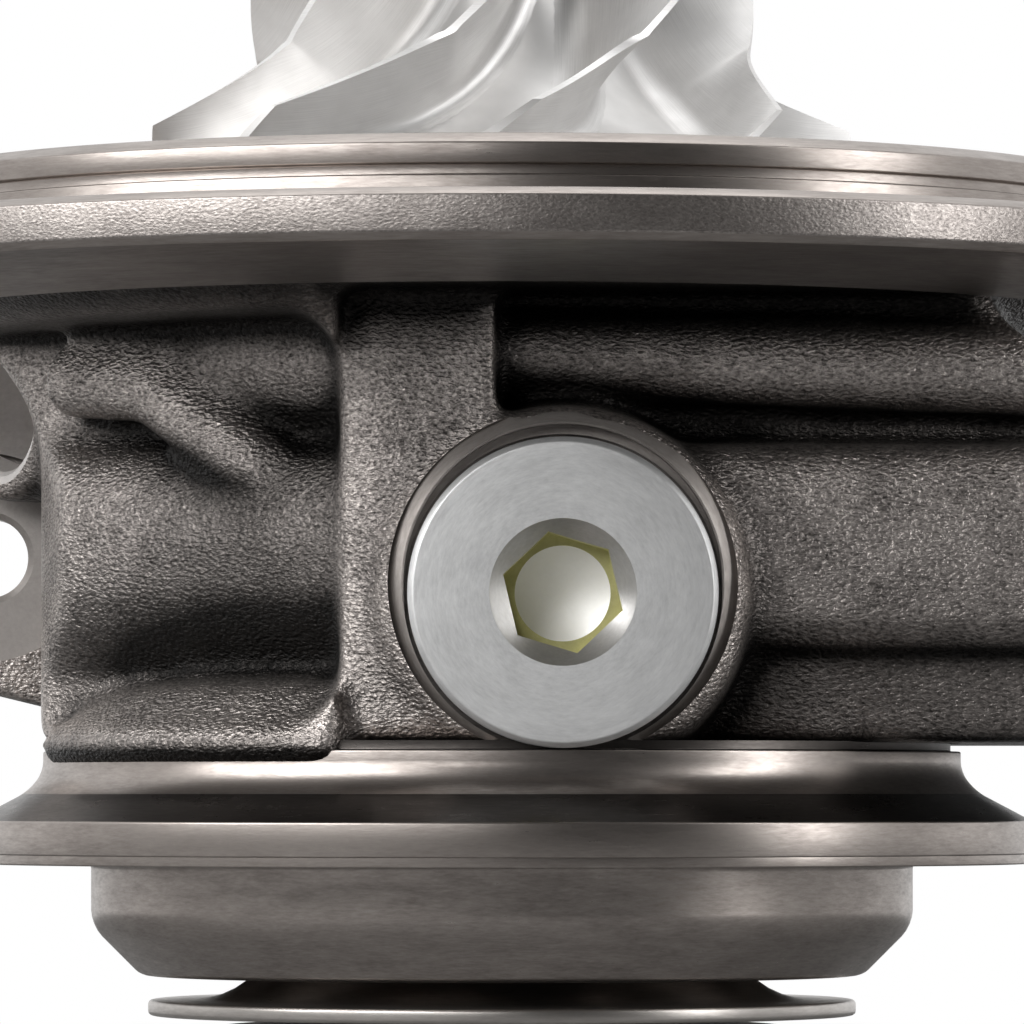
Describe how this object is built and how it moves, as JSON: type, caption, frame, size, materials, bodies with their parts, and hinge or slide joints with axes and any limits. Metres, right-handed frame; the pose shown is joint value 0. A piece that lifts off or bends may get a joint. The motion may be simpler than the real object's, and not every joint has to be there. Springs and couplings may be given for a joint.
{
  "type": "turbo cartridge",
  "caption": "Turbocharger cartridge: cast bearing housing with turned end flanges, core plug, oil and coolant ports, and a spinning rotor with compressor and turbine wheels.",
  "frame": {"origin": "on the rotor axis, in the plane of the seat under the V-band flange that meets the turbine housing", "axes": "+Z along the rotor axis towards the compressor wheel, -Y out of the core plug, +X out of the oil drain"},
  "size_m": [0.116, 0.116, 0.1216],
  "materials": {
    "cast_iron": "rough cast with turned flanges",
    "plug_steel": "turned, zinc plated",
    "washer_metal": "plain copper",
    "shield_steel": "pressed sheet",
    "plate_steel": "turned",
    "o_ring_rubber": "matte",
    "spring_steel": "phosphated",
    "bearing_bronze": "turned",
    "shaft_steel": "ground",
    "turbine_alloy": "investment cast",
    "wheel_aluminium": "milled",
    "nut_steel": "dark oxide"
  },
  "bodies": {
    "housing": {"bearing_housing": "cast_iron", "core_plug": "plug_steel", "core_plug_washer": "washer_metal", "heat_shield": "shield_steel", "seal_plate": "plate_steel", "seal_plate_o_ring": "o_ring_rubber", "seal_plate_circlip": "spring_steel", "oil_deflector": "shield_steel", "thrust_bearing": "bearing_bronze", "thrust_bearing_pins": "plate_steel", "compressor_piston_ring": "spring_steel", "turbine_piston_ring": "spring_steel", "compressor_bearing_circlip": "spring_steel", "turbine_bearing_inner_circlip": "spring_steel", "turbine_bearing_outer_circlip": "spring_steel"},
    "compressor_bearing": {"compressor_journal_bearing": "bearing_bronze"},
    "turbine_bearing": {"turbine_journal_bearing": "bearing_bronze"},
    "rotor": {"turbine_shaft": "shaft_steel", "turbine_wheel": "turbine_alloy", "thrust_collar": "shaft_steel", "seal_sleeve": "shaft_steel", "compressor_wheel": "wheel_aluminium", "compressor_nut": "nut_steel"}
  },
  "joints": [
    {"name": "rotor_spin", "type": "hinge", "parent": "housing", "child": "rotor", "pos_m": [0, 0, 0], "axis": [0, 0, 1], "continuous": true},
    {"name": "compressor_bearing_spin", "type": "hinge", "parent": "housing", "child": "compressor_bearing", "pos_m": [0, 0, 0], "axis": [0, 0, 1], "continuous": true},
    {"name": "turbine_bearing_spin", "type": "hinge", "parent": "housing", "child": "turbine_bearing", "pos_m": [0, 0, 0], "axis": [0, 0, 1], "continuous": true}
  ]
}
